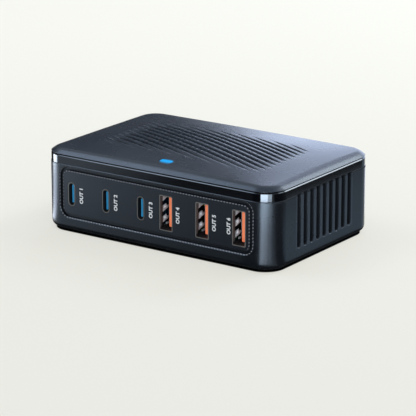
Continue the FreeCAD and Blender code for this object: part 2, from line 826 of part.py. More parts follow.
def bulk_capacitor(place):
    """Electrolytic can with a rounded top edge."""
    can = post(bulk_diameter, board_z, board_z + bulk_height, place[0], place[1])
    return can.makeFillet(sheet, edges_at(can, board_z + bulk_height))


def upper_heat_spreader():
    """Aluminium sheet on the thermal pads."""
    low = wound_top + pad_thickness
    width = 2 * (inner_x - upper_spreader_margin_x)
    front = -inner_y + upper_spreader_front
    back = inner_y - upper_spreader_back
    return slab(width, back - front, low, low + spreader_thickness, 0.0, 0.0, (front + back) / 2)


def thermal_pads():
    """Soft pads on top of the two ferrite frames."""
    pads = []
    for size, place in ((transformer_size, transformer_place), (boost_size, boost_place)):
        pads.append(slab(size[0] - 2 * pad_margin, size[1] - 2 * pad_margin, wound_top, wound_top + pad_thickness,
                         0.0, place[0], place[1]))
    return Part.makeCompound(pads)


def lower_heat_spreader():
    """Aluminium sheet on the floor of the housing."""
    width = 2 * (inner_x - lower_spreader_margin_x)
    depth = 2 * (inner_y - lower_spreader_margin_y)
    return slab(width, depth, floor_z, floor_z + spreader_thickness)


def insulation_sheet():
    """Insulating film on the lower heat spreader."""
    width = 2 * (inner_x - lower_spreader_margin_x)
    depth = 2 * (inner_y - lower_spreader_margin_y)
    low = floor_z + spreader_thickness
    return slab(width, depth, low, low + insulation_thickness)


def rubber_foot(place):
    """Round foot in its pocket, with a softened lower edge."""
    foot = post(foot_diameter - 2 * insulator_gap, 0.0, base_z + foot_pocket, place[0], place[1])
    return foot.makeFillet(sheet, edges_at(foot, 0.0))


def pieces():
    """Every node of the charger by name."""
    made = {
        "lower_housing": lower_housing(),
        "trim_band": trim_band(),
        "top_cover": top_cover(),
        "port_panel": port_panel(),
        "light_pipe": light_pipe(),
        "status_led": standing(led_size, (0.0, pipe_y)),
        "main_board": main_board(),
        "board_screws": board_screws(),
        "daughter_board": standing(daughter_size, daughter_place),
        "control_chip": control_chip(),
        "mains_inlet": mains_inlet(),
        "inlet_pins": inlet_pins(),
        "fuse": standing(fuse_size, fuse_place),
        "varistor": disc_standing(varistor_diameter, varistor_thickness, varistor_place, V(1, 0, 0)),
        "choke_core": choke_core(),
        "choke_windings": choke_windings(),
        "x_capacitor": standing(x_capacitor_size, x_capacitor_place),
        "y_capacitor": disc_standing(y_capacitor_diameter, y_capacitor_thickness, y_capacitor_place, V(0, 1, 0)),
        "heat_sink": heat_sink(),
        "bridge_rectifier": on_heat_sink(bridge_size, -1),
        "gan_switch": on_heat_sink(gan_switch_size, 1),
        "transformer_base": wound_base(transformer_size, transformer_place),
        "transformer_core": wound_core(transformer_size, transformer_leg, transformer_post, transformer_place),
        "transformer_winding": wound_coil(transformer_size, transformer_leg, transformer_post,
                                          transformer_coil_reach, transformer_place),
        "boost_base": wound_base(boost_size, boost_place),
        "boost_core": wound_core(boost_size, boost_leg, boost_post, boost_place),
        "boost_winding": wound_coil(boost_size, boost_leg, boost_post, boost_coil_reach, boost_place),
        "output_capacitors": output_capacitors(),
        "buck_inductors": buck_inductors(),
        "port_controllers": port_controllers(),
        "upper_heat_spreader": upper_heat_spreader(),
        "thermal_pads": thermal_pads(),
        "lower_heat_spreader": lower_heat_spreader(),
        "insulation_sheet": insulation_sheet(),
    }
    for i, x in enumerate(usb_c_x, 1):
        made[f"usb_c_shell_{i}"] = usb_c_shell(x)
        made[f"usb_c_body_{i}"] = usb_c_body(x)
        made[f"usb_c_contacts_{i}"] = usb_c_contact_set(x)
    for i, x in enumerate(usb_a_x, 1):
        made[f"usb_a_shell_{i}"] = usb_a_shell(x)
        made[f"usb_a_body_{i}"] = usb_a_body(x)
        made[f"usb_a_contacts_{i}"] = usb_a_contact_set(x)
    for i, place in enumerate(bulk_places, 1):
        made[f"bulk_capacitor_{i}"] = bulk_capacitor(place)
    for i, place in enumerate(foot_places(), 1):
        made[f"rubber_foot_{i}"] = rubber_foot(place)
    return made


os.makedirs("parts", exist_ok=True)
for name, shape in pieces().items():
    shape.exportStep(f"parts/{name}.step")
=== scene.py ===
import math

import bmesh
import bpy
import numpy as np
from bpy.props import FloatProperty, FloatVectorProperty, IntProperty, PointerProperty, StringProperty
from mathutils import Matrix, Vector


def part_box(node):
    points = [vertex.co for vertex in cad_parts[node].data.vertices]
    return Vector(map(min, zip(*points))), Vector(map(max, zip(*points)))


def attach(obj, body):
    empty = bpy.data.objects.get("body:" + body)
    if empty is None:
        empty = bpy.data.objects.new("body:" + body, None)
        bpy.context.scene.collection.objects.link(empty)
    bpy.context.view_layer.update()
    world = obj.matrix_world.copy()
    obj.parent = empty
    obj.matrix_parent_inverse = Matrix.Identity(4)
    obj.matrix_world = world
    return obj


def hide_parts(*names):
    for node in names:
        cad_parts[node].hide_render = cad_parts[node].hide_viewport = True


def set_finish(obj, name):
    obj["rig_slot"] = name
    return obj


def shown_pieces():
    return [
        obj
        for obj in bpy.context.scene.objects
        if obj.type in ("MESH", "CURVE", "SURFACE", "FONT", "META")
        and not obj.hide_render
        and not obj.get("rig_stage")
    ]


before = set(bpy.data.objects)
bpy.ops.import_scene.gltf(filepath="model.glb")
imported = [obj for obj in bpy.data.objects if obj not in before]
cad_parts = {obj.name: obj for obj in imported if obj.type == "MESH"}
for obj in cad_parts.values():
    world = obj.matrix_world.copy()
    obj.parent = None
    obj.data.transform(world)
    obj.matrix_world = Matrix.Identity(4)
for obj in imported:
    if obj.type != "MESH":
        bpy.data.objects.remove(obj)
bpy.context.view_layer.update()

bl_info = {
    "name": "Desk charger",
    "version": (1, 0, 0),
    "blender": (4, 5, 0),
    "location": "View3D > Sidebar > Charger",
    "description": "Cover, beaded lines, socket numbers, materials and stage of the packed desk charger",
    "category": "Object",
}

MM = 0.001
BODY = "root"
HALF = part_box("lower_housing")[1]
CORNER = 8.4 * MM
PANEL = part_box("port_panel")
FACE_Y = PANEL[0].y
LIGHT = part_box("light_pipe")
LIGHT_Y = (LIGHT[0].y + LIGHT[1].y) / 2
LIGHT_TOP = LIGHT[1].z
LIGHT_SIZE = (5.6 * MM, 2.2 * MM)
SHARP = math.radians(40)


def number(name, description, default, **more):
    """A plain number."""
    return FloatProperty(name=name, description=description, default=default, **more)


def length(name, description, size, **limits):
    """A size, given in millimetres, kept in metres and shown in the scene's own length unit."""
    return number(name, description, size * MM, precision=5, subtype="DISTANCE", unit="LENGTH", **limits)


def angle(name, description, degrees):
    """An angle, given in degrees."""
    return number(name, description, math.radians(degrees), subtype="ANGLE", unit="ROTATION")


def colour(name, description, default):
    """A colour that a finish starts from."""
    return FloatVectorProperty(name=name, description=description, default=default, subtype="COLOR", size=3,
                               min=0.0, max=1.0)


class CoverSettings(bpy.types.PropertyGroup):
    """Sizes of the grooved cover."""

    inset: length("Inset", "Step from the housing wall in to the cover's edge", 0.2)
    corner: length("Corner", "Radius of the housing's upright corners", CORNER / MM)
    rim: length("Rim", "Height of the crowned surface's border over the cover's lower edge", 1.6)
    crown: length("Crown", "Rise of the cover from its border to its middle", 2.29)
    edge: length("Edge", "Height of the upright side under the sloped edge", 0.1)
    bevel_run_x: length("Bevel at the ends", "Width of the sloped edge at the two short ends", 2.4)
    bevel_run_y: length("Bevel at the sides", "Width of the sloped edge at the two long sides", 2.0)
    bevel_rise: length("Bevel rise", "Height of the sloped edge", 1.65)
    blend: length("Blend", "Softness of the line between slope and crown", 0.8)
    lower_round: length("Lower round", "Radius of the cover's lower edge", 0.08)
    wall: length("Wall", "Thickness of the cover", 2.2)
    skirt_inset: length("Skirt inset", "Step from the cover's edge in to its skirt", 2.75)
    skirt_wall: length("Skirt wall", "Thickness of the skirt", 1.4)
    groove_pitch: length("Groove pitch", "Distance from groove to groove, square to them", 2.92)
    groove_depth: length("Groove depth", "Depth of the grooves at the middle of the field", 1.4)
    groove_angle: angle("Groove angle", "Direction of the grooves from the long side", -21.5)
    field_width: length("Field width", "Width of the grooved field", 76.6)
    field_depth: length("Field depth", "Depth of the grooved field", 41.0)
    field_x: length("Field place across", "Middle of the grooved field from left to right", -0.6)
    field_y: length("Field place along", "Middle of the grooved field from front to back", -1.2)
    field_fade: length("Field fade", "Length over which the grooves run out", 10.5)
    step_x: length("Grid step across", "Spacing of the points from left to right", 0.46, min=0.3 * MM)
    step_y: length("Grid step along", "Spacing of the points from front to back", 0.22, min=0.2 * MM)


class BeadSettings(bpy.types.PropertyGroup):
    """Sizes of the two beaded lines round the front panel."""

    corner: length("Corner", "Outer corner radius of the panel", 3.7)
    face_inset: length("Face inset", "Step from the panel's border in to its raised face", 1.4)
    face_back: length("Face depth", "Depth of the inner line's middle behind the raised face", 0.12)
    face_radius: length("Inner radius", "Radius of the inner line", 0.2)
    lip_inset: length("Lip inset", "Step from the panel's border out to the lip of its opening", -0.28)
    lip_back: length("Lip depth", "Depth of the outer line's middle behind the raised face", 0.1)
    lip_radius: length("Outer radius", "Radius of the outer line", 0.19)
    pitch: length("Pitch", "Distance from bead to bead", 1.25)
    dent: number("Dent", "Share of the radius taken off between two beads", 0.7, min=0.0, max=0.9,
                 subtype="FACTOR")
    along: IntProperty(name="Points per bead", description="Points along one bead", default=8, min=4)
    around: IntProperty(name="Points around", description="Points round the line", default=12, min=6)


class LabelSettings(bpy.types.PropertyGroup):
    """Numbers printed beside the sockets."""

    word: StringProperty(name="Word", description="Word before each socket's number", default="OUT")
    size: length("Size", "Height of the letters", 2.1)
    height: length("Height", "Middle of the labels above the floor", 15.1)
    ink: length("Ink", "Thickness of the print", 0.04)
    bold: length("Bold", "How far the letters' strokes are widened on each side", 0.075)
    offset_c: length("Offset at narrow sockets", "From a narrow socket's middle to its label", 4.6)
    offset_a: length("Offset at wide sockets", "From a wide socket's middle to its label", 5.25)


class FinishSettings(bpy.types.PropertyGroup):
    """Colours of the outer finishes."""

    housing: colour("Housing", "Satin plastic of the housing", (0.0065, 0.008, 0.011))
    cover: colour("Cover", "Satin plastic of the cover", (0.0145, 0.0205, 0.0325))
    panel: colour("Panel", "Matte plastic of the front panel", (0.008, 0.0095, 0.014))
    # The shade colour is painted shade, for grooves, gaps and recesses
    shade: colour("Shade", "Plastic deep in grooves and gaps", (0.0022, 0.0026, 0.0034))
    # The bead colour is a painted highlight on the beads' tips
    bead: colour("Bead", "Rubbed tips of the beaded lines", (0.56, 0.59, 0.68))
    band: colour("Band", "Glossy band under the cover", (0.002, 0.002, 0.003))
    narrow_tongue: colour("Narrow tongue", "Tongues of the narrow sockets", (0.012, 0.22, 0.46))
    wide_tongue: colour("Wide tongue", "Tongues of the wide sockets", (1.0, 0.25, 0.115))
    light: colour("Light", "Status light", (0.003, 0.40, 0.95))
    ink: colour("Ink", "Print on the front panel", (0.78, 0.80, 0.84))


class StageSettings(bpy.types.PropertyGroup):
    """Camera, floor and sky."""

    lens: number("Lens", "Focal length on a 36 mm sensor", 199.04, subtype="DISTANCE_CAMERA")
    camera_place: FloatVectorProperty(name="Camera", description="Place of the camera", size=3, unit="LENGTH",
                                      subtype="TRANSLATION", default=(0.46790, -0.66752, 0.25244))
    azimuth: angle("Azimuth", "Direction of the camera round the charger", 35.02)
    elevation: angle("Elevation", "Height of the camera over the horizon", 16.70)
    floor: colour("Floor", "Pale floor", (0.832, 0.822, 0.755))
    glow: number("Floor glow", "Share of the floor's own pale colour that shadows don't reach", 0.7, min=0.0,
                 max=1.0, subtype="FACTOR")
    floor_size: length("Floor size", "Side of the floor", 6000.0)
    sky: number("Sky", "Strength of the sky overhead", 0.85, min=0.0)
    horizon: number("Horizon", "Strength of the sky near the horizon", 0.07, min=0.0)


def new_mesh(name, vertices, faces):
    """Mesh from points and faces."""
    mesh = bpy.data.meshes.new(name)
    mesh.from_pydata(vertices, [], faces)
    return mesh


def placed(name, data):
    """Object in the scene that holds a mesh, a text, a lamp or a camera."""
    item = bpy.data.objects.new(name, data)
    bpy.context.scene.collection.objects.link(item)
    return item


def new_piece(name, vertices, faces, slot):
    """Smooth piece that rides on the charger and is painted with one slot."""
    mesh = new_mesh(name, vertices, faces)
    mesh.update()
    mesh.validate()
    mesh.shade_smooth()
    piece = placed(name, mesh)
    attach(piece, BODY)
    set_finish(piece, slot)
    return piece


def ring_quads(first, second):
    """Faces between two closed rings: each point joins its neighbour and the pair on the other ring."""
    return np.stack([first, second, np.roll(second, -1), np.roll(first, -1)], axis=1)


def rounded_outline(half, radius, counts):
    """Points and outward normals of a rounded rectangle, anticlockwise.

    Each of the four sides starts at the middle of a corner arc. With s the length along the side, the normal
    turns by s / radius on the arcs and stays on the straight run, and the point is the arc's centre plus
    radius times the normal.
    """
    points, normals = [], []
    eighth = math.pi / 4
    arc = radius * eighth
    for turn in range(4):
        flip = turn % 2
        reach = half[flip] - radius
        s = np.arange(counts[flip]) / counts[flip] * 2 * (arc + reach)
        bend = np.clip(s / radius, 0, eighth) + np.clip((s - arc - 2 * reach) / radius, 0, eighth)
        normal = np.stack([np.cos(bend - 3 * eighth), np.sin(bend - 3 * eighth)], axis=1)
        along = np.clip(s - arc, 0, 2 * reach) - reach
        centre = np.stack([along, np.full_like(s, radius - half[1 - flip])], axis=1)
        quarter = np.linalg.matrix_power(np.array([[0, 1], [-1, 0]]), turn)
        points.append((centre + radius * normal) @ quarter)
        normals.append(normal @ quarter)
    return np.concatenate(points), np.concatenate(normals)


def coons_grid(ring, counts):
    """Grid of points filling a closed ring.

    The sum of the two blends between opposite sides, less the blend between the four corners.
    """
    across, along = counts
    closed = np.concatenate([ring, ring[:1]])
    front = closed[:across + 1]
    right = closed[across:across + along + 1]
    back = closed[across + along:2 * across + along + 1][::-1]
    left = closed[2 * across + along:][::-1]
    s = np.linspace(0, 1, across + 1)[:, None, None]
    t = np.linspace(0, 1, along + 1)[None, :, None]
    sides = (1 - t) * front[:, None] + t * back[:, None] + (1 - s) * left[None] + s * right[None]
    corners = (1 - s) * ((1 - t) * front[0] + t * back[0]) + s * ((1 - t) * front[-1] + t * back[-1])
    return sides - corners


def smooth_step(value):
    """0 below 0, 1 above 1 and a smooth cubic between."""
    value = np.clip(value, 0, 1)
    return value * value * (3 - 2 * value)


def crown_height(xy, cover, base):
    """Height of the crowned surface.

    Border height plus crown times (1 - (x / half width)^2)(1 - (y / half depth)^2).
    """
    fall = (1 - (xy[..., 0] / HALF.x) ** 2) * (1 - (xy[..., 1] / HALF.y) ** 2)
    return base + cover.rim + cover.crown * fall


def groove_shape(xy, cover):
    """Depth of the grooves and the strength of their shade, narrower and fainter towards the field's border.

    The share of the pitch from the nearest groove line goes through a smooth step, which gives flat bottoms
    and ridges with smooth flanks. Two smooth steps across and along the field run it out. The shade rises
    faster than the depth, so that the flanks are dark from their upper edge.
    """
    narrowest, widening, flank = 0.17, 0.13, 0.2
    depth_power, shade_rise, shade_edge = 1.4, 1.3, 0.3
    x, y = xy[..., 0], xy[..., 1] - cover.field_y
    across = (y * math.cos(cover.groove_angle) - x * math.sin(cover.groove_angle)) / cover.groove_pitch
    away = np.abs(across - np.round(across))
    inside = (smooth_step((cover.field_width / 2 - np.abs(x - cover.field_x)) / cover.field_fade)
              * smooth_step((cover.field_depth / 2 - np.abs(y)) / cover.field_fade))
    profile = smooth_step((narrowest + widening * inside - away) / flank)
    shade = smooth_step(shade_rise * inside) * smooth_step(profile / shade_edge)
    return cover.groove_depth * inside ** depth_power * profile, shade


def soft_least(first, second, blend):
    """The lesser of two heights, with a parabola of a blend's width where they meet."""
    share = np.clip(0.5 + 0.5 * (second - first) / blend, 0, 1)
    return second + (first - second) * share - blend * share * (1 - share)


def paint(piece, name, values):
    """Store one value per point under a name that the piece's material reads."""
    layer = piece.data.attributes.new(name, "FLOAT", "POINT")
    layer.data.foreach_set("value", np.asarray(values, dtype=np.float32))


def pill_prism(name, size, centre, low, high):
    """Closed upright prism on a pill outline: two half circles and the straight runs between them."""
    points_per_half = 24
    turn = np.linspace(-math.pi / 2, math.pi / 2, points_per_half)
    radius = size[1] / 2
    half = np.stack([size[0] / 2 - radius + radius * np.cos(turn), radius * np.sin(turn)], axis=1)
    ring = np.concatenate([half, -half]) + np.array(centre)
    total = len(ring)
    vertices = np.concatenate([np.c_[ring, np.full(total, low)], np.c_[ring, np.full(total, high)]])
    lower, upper = np.arange(total), np.arange(total) + total
    faces = ring_quads(upper, lower).tolist() + [lower[::-1].tolist(), upper.tolist()]
    return new_mesh(name, vertices, faces)


def cut_with(piece, mesh):
    """Cut a closed mesh out of a piece for good and sharpen the edges that the cut makes."""
    tool = placed("cut_tool", mesh)
    cut = piece.modifiers.new("cut", "BOOLEAN")
    cut.operation, cut.solver, cut.object = "DIFFERENCE", "EXACT", tool
    bpy.context.view_layer.update()
    finished = bpy.data.meshes.new_from_object(piece.evaluated_get(bpy.context.evaluated_depsgraph_get()))
    piece.modifiers.clear()
    piece.data = finished
    bpy.data.objects.remove(tool)
    bpy.data.meshes.remove(mesh)
    finished.shade_smooth()
    finished.set_sharp_from_angle(angle=SHARP)


class CHARGER_OT_cover(bpy.types.Operator):
    """Build the crowned cover with its grooves, sloped edge, skirt and the hole for the status light"""

    bl_idname = "charger.cover"
    bl_label = "Grooved cover"

    def execute(self, context):
        cover = context.scene.charger_cover
        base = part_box("trim_band")[1].z
        skirt_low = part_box("top_cover")[0].z
        half = (HALF.x - cover.inset, HALF.y - cover.inset)
        counts = [2 * round(side / step) for side, step in zip(half, (cover.step_x, cover.step_y))]
        runs = (cover.bevel_run_x, cover.bevel_run_y)

        def border(share):
            sides = [side - share * run for side, run in zip(half, runs)]
            return rounded_outline(sides, cover.corner - cover.inset - share * sum(runs) / 2, counts)[0]

        # The sloped edge: the lesser of the crown and a slope that rises with the share of its width
        shares = [0, 0.2, 0.35, 0.45, 0.55, 0.65, 0.75, 0.85, 0.95, 1.05, 1.15, 1.25, 1.35, 1.45, 1.6]
        grid = coons_grid(border(shares[-1]), counts)
        height = crown_height(grid, cover, base) - groove_shape(grid, cover)[0]
        top = np.concatenate([grid, height[..., None]], axis=-1)
        index = np.arange(top.shape[0] * top.shape[1]).reshape(top.shape[:2])
        rim = np.concatenate([index[:-1, 0], index[-1, :-1], index[:0:-1, -1], index[0, :0:-1]])
        quads = np.stack([index[:-1, :-1], index[1:, :-1], index[1:, 1:], index[:-1, 1:]], axis=-1)
        rings = []
        for share in shares[-2::-1]:
            xy = border(share)
            slope = np.full(len(xy), base + cover.edge + share * cover.bevel_rise)
            rings.append(np.c_[xy, soft_least(slope, crown_height(xy, cover, base), cover.blend)])

        # Below it the upright side, the lower edge, the skirt and the underside
        edge, normal = rounded_outline(half, cover.corner - cover.inset, counts)
        r, inner, round_points = cover.lower_round, cover.skirt_inset + cover.skirt_wall, 4
        profile = [(r * (1 - math.cos(a)), base + r * (1 - math.sin(a)))
                   for a in np.linspace(0, math.pi / 2, round_points)]
        profile += [(cover.skirt_inset, base), (cover.skirt_inset, skirt_low), (inner, skirt_low)]
        rings += [np.c_[edge - normal * inset, np.full(len(edge), level)] for inset, level in profile]
        xy = edge - normal * inner
        rings.append(np.c_[xy, crown_height(xy, cover, base) - cover.wall])
        numbers = [rim] + [index.size + i * len(edge) + np.arange(len(edge)) for i in range(len(rings))]
        faces = [quads.reshape(-1, 4)] + [ring_quads(a, b) for a, b in zip(numbers, numbers[1:])]
        last = index.size + len(rings) * len(edge)
        tip = np.array([[0.0, 0.0, base + cover.rim + cover.crown - cover.wall]])
        fan = np.stack([numbers[-1], np.full(len(edge), last), np.roll(numbers[-1], -1)], axis=1)
        piece = new_piece("grooved_cover", np.concatenate([top.reshape(-1, 3), *rings, tip]),
                          np.concatenate(faces).tolist() + fan.tolist(), "cover_plastic")

        gap, past = 0.06 * MM, 1.0 * MM
        size = [side + 2 * gap for side in LIGHT_SIZE]
        cut_with(piece, pill_prism("light_hole", size, (0.0, LIGHT_Y), base - past, LIGHT_TOP + past))

        # The shade goes on the upper side only, which takes up this share of the wall
        upper = 0.8
        points = np.empty(len(piece.data.vertices) * 3)
        piece.data.vertices.foreach_get("co", points)
        points = points.reshape(-1, 3)
        outside = points[:, 2] > crown_height(points[:, :2], cover, base) - cover.wall * upper
        paint(piece, "groove", np.where(outside, groove_shape(points[:, :2], cover)[1], 0.0))
        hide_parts("top_cover")
        return {"FINISHED"}


class CHARGER_OT_beads(bpy.types.Operator):
    """Build the beaded lines on the edge of the panel's raised face and on the lip of its opening"""

    bl_idname = "charger.beads"
    bl_label = "Beaded lines"

    def execute(self, context):
        beads = context.scene.charger_beads
        # Each line's last tuple gives its shares of painted highlight on the left, right, bottom and top
        # sides
        self.line("face_beads", beads, beads.face_inset, beads.face_back, beads.face_radius,
                  twist=0.0, highlight_shares=(0.3, 0.45, 0.0, 0.7))
        self.line("lip_beads", beads, beads.lip_inset, beads.lip_back, beads.lip_radius,
                  twist=0.4, highlight_shares=(0.35, 0.75, 0.95, 0.1))
        return {"FINISHED"}

    def line(self, name, beads, inset, back, radius, twist, highlight_shares):
        """Closed ring: a circle carried round the panel, whose radius swells and shrinks on the way.

        The swelling is a raised cosine of the length over the pitch plus the twist times the turn round the
        circle. The painted highlight is the swelling squared times the share for the left, right, bottom
        or top side that the outline faces.
        """
        low, high = PANEL
        half = ((high.x - low.x) / 2 - inset, (high.z - low.z) / 2 - inset)
        corner = beads.corner - inset
        spacing = beads.pitch / beads.along
        counts = [round(2 * (side - corner + corner * math.pi / 4) / spacing) for side in half]
        edge, normal = rounded_outline(half, corner, counts)
        pieces = np.linalg.norm(np.roll(edge, -1, axis=0) - edge, axis=1)
        total = pieces.sum()
        number = round(total / beads.pitch)
        u = ((np.cumsum(pieces) - pieces) / total * number)[:, None]
        turn = (np.arange(beads.around) / beads.around)[None, :]
        swell = 0.5 + 0.5 * np.cos(2 * math.pi * (u + twist * turn))
        reach = radius * (1 - beads.dent * (1 - swell))
        plan = edge[:, None] + normal[:, None] * (reach * np.cos(2 * math.pi * turn))[..., None]
        x, z = plan[..., 0] + (low.x + high.x) / 2, plan[..., 1] + (low.z + high.z) / 2
        points = np.stack([x, FACE_Y + back - reach * np.sin(2 * math.pi * turn), z], axis=-1)
        index = np.arange(swell.size).reshape(swell.shape)
        ahead = np.roll(index, -1, axis=0)
        quads = np.stack([index, ahead, np.roll(ahead, -1, axis=1), np.roll(index, -1, axis=1)], axis=-1)
        piece = new_piece(name, points.reshape(-1, 3), quads.reshape(-1, 4).tolist(), "panel_plastic")
        # Painted highlight on the beads' tips, by the side that the outline faces
        left, right, bottom, top = highlight_shares
        side = np.where(normal > 0, [right, top], [left, bottom])
        paint(piece, "bead", (swell ** 2 * (side * normal ** 2).sum(axis=1)[:, None]).ravel())


class CHARGER_OT_labels(bpy.types.Operator):
    """Print a word and a number beside each socket"""

    bl_idname = "charger.labels"
    bl_label = "Socket numbers"

    def execute(self, context):
        labels = context.scene.charger_labels
        # The last label stands on the other side of its socket and a little nearer
        last_side = -0.81
        curve_steps, weld = 3, 1e-6
        places = []
        for kind, offset in (("usb_c_shell", labels.offset_c), ("usb_a_shell", labels.offset_a)):
            for number in (1, 2, 3):
                low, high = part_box(f"{kind}_{number}")
                side = last_side if (kind, number) == ("usb_a_shell", 3) else 1.0
                places.append((low.x + high.x) / 2 + side * offset)
        for number, x in enumerate(places, 1):
            text = bpy.data.curves.new(f"label_{number}", "FONT")
            text.body = f"{labels.word} {number}"
            text.size, text.align_x, text.align_y = labels.size, "CENTER", "CENTER"
            text.extrude, text.resolution_u, text.offset = labels.ink / 2, curve_steps, labels.bold
            holder = placed("label_text", text)
            context.view_layer.update()
            mesh = bpy.data.meshes.new_from_object(holder.evaluated_get(context.evaluated_depsgraph_get()))
            bpy.data.objects.remove(holder)
            bpy.data.curves.remove(text)
            turn = Matrix(((0, -1, 0, x), (0, 0, -1, FACE_Y), (1, 0, 0, labels.height), (0, 0, 0, 1)))
            mesh.transform(turn)
            joined = bmesh.new()
            joined.from_mesh(mesh)
            bmesh.ops.remove_doubles(joined, verts=joined.verts, dist=weld)
            bmesh.ops.recalc_face_normals(joined, faces=joined.faces)
            joined.to_mesh(mesh)
            joined.free()
            mesh.materials.clear()
            piece = placed(f"socket_label_{number}", mesh)
            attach(piece, BODY)
        return {"FINISHED"}


class Nodes:
    """Node tree with short calls to add nodes and join them."""

    def __init__(self, tree):
        self.tree = tree

    def give(self, socket, value):
        """Link a socket to another one, or set its value."""
        if isinstance(value, bpy.types.NodeSocket):
            self.tree.links.new(value, socket)
        elif value is not None:
            socket.default_value = value

    def node(self, kind, settings=(), **values):
        """New node with its settings and inputs, whose names have an underscore for each space."""
        made = self.tree.nodes.new(kind)
        for key, value in dict(settings).items():
            setattr(made, key, value)
        for key, value in values.items():
            self.give(made.inputs[key.replace("_", " ")], value)
        return made

    def spread(self, value, low, high, start=0.25, end=0.75, kind="LINEAR"):
        """A value from start to end spread over low to high."""
        made = self.node("ShaderNodeMapRange", {"interpolation_type": kind}, Value=value, From_Min=start,
                         From_Max=end, To_Min=low, To_Max=high)
        return made.outputs["Result"]


class Finish(Nodes):
    """Node tree of one material round its main shader."""

    def __init__(self, name, base, rough, metal=0.0, specular=0.5):
        self.material = bpy.data.materials.new(name)
        self.material.use_nodes = True
        super().__init__(self.material.node_tree)
        self.shader = self.tree.nodes["Principled BSDF"]
        self.base, self.rough = base, rough
        self.join((*base, 1), "Base Color")
        self.join(rough, "Roughness")
        self.join(metal, "Metallic")
        self.join(specular, "Specular IOR Level")
        self.place = self.node("ShaderNodeTexCoord").outputs["Object"]

    def join(self, source, target):
        """Give one of the shader's inputs a socket or a value."""
        self.give(self.shader.inputs[target], source)

    def stretched(self, scale, turn=(0, 0, 0)):
        """Object coordinates turned and stretched along the axes."""
        return self.node("ShaderNodeMapping", Vector=self.place, Scale=scale, Rotation=turn).outputs["Vector"]

    def noise(self, size, detail=2.0, vector=None, roughness=0.5):
        """Noise whose spots are about one size across."""
        made = self.node("ShaderNodeTexNoise", Vector=vector or self.place, Scale=1 / size, Detail=detail,
                         Roughness=roughness)
        return made.outputs["Fac"]

    def between(self, value, start, end):
        """0 at the start, 1 at the end and a smooth step from one to the other."""
        return self.spread(value, 0.0, 1.0, start, end, "SMOOTHSTEP")

    def maths(self, operation, first, second=None):
        """Result of one sum on values or sockets."""
        made = self.node("ShaderNodeMath", {"operation": operation})
        for socket, value in zip(made.inputs, (first, second)):
            self.give(socket, value)
        return made.outputs["Value"]

    def distance(self, first, second):
        """Root of the sum of two squares."""
        squares = [self.maths("MULTIPLY", value, value) for value in (first, second)]
        return self.maths("SQRT", self.maths("ADD", *squares))

    def axis(self, name, size=False):
        """One of the object's coordinates, or its size without the sign."""
        split = self.node("ShaderNodeSeparateXYZ", Vector=self.place).outputs[name]
        return self.maths("ABSOLUTE", split) if size else split

    def stored(self, name):
        """Value that the piece's points carry under a name."""
        return self.node("ShaderNodeAttribute", {"attribute_name": name}).outputs["Fac"]

    def blend(self, factor, first, second):
        """Mix of two colours, by the numbers of the node's colour sockets."""
        made = self.node("ShaderNodeMix", {"data_type": "RGBA"}, Factor=factor)
        for socket, value in zip(made.inputs[6:8], (first, second)):
            self.give(socket, value if isinstance(value, bpy.types.NodeSocket) else (*value, 1))
        return made.outputs[2]

    def tint(self, factor, amount):
        """Base colour made darker and lighter by an amount as the factor goes from 0 to 1."""
        dark = [c * (1 - amount) for c in self.base]
        light = [min(c * (1 + amount), 1) for c in self.base]
        self.join(self.blend(factor, dark, light), "Base Color")

    def layer(self, factor, tone):
        """Another colour over the base colour so far, where the factor is 1."""
        socket = self.shader.inputs["Base Color"]
        under = socket.links[0].from_socket if socket.is_linked else self.base
        self.join(self.blend(factor, under, tone), "Base Color")

    def relief(self, height, depth):
        """Bump from a height of 0 to 1 over a depth."""
        self.join(self.node("ShaderNodeBump", Height=height, Distance=depth).outputs["Normal"], "Normal")

    def vary_rough(self, factor, amount):
        """Roughness less and more by an amount as the factor goes from low to high."""
        self.join(self.spread(factor, self.rough - amount, self.rough + amount), "Roughness")

    def dull(self, factor, low, high, amount):
        """Cloudy roughness from low to high, and an amount more where the factor is 1."""
        cloud = self.spread(self.noise(CLOUD, 3.0), low, high)
        self.join(self.maths("ADD", cloud, self.maths("MULTIPLY", factor, amount)), "Roughness")

    def texture(self, pattern, tint, depth, gloss, rough):
        """One pattern in colour and relief, and another in roughness."""
        self.tint(pattern, tint)
        self.relief(pattern, depth)
        self.vary_rough(gloss, rough)
        return self

    def glow(self, tone, strength):
        """Light of one colour from the surface itself."""
        self.join(tone, "Emission Color")
        self.join(strength, "Emission Strength")


CLOUD = 14 * MM
WAVE = 0.31  # scale of a wave texture times the length of a wave
BLACK = (0, 0, 0)
SATIN_SHEEN = (0.66, 0.82, 1.0)
COVER_SHEEN = (0.72, 0.85, 1.0)
BAND_SHEEN = (0.72, 0.84, 1.0)


def moulded(name, base, rough, grain=0.28 * MM, depth=0.004 * MM, specular=0.3, sheen=(1, 1, 1)):
    """Moulded plastic: spark-eroded grain in the surface, faint cloud in colour and gloss."""
    mat = Finish(name, base, rough, 0.0, specular)
    mat.join((*sheen, 1), "Specular Tint")
    cloud = mat.noise(CLOUD, 3.0)
    fine = mat.noise(grain, 3.0, roughness=0.6)
    mat.tint(cloud, 0.10)
    mat.vary_rough(cloud, 0.03)
    mat.relief(fine, depth)
    return mat


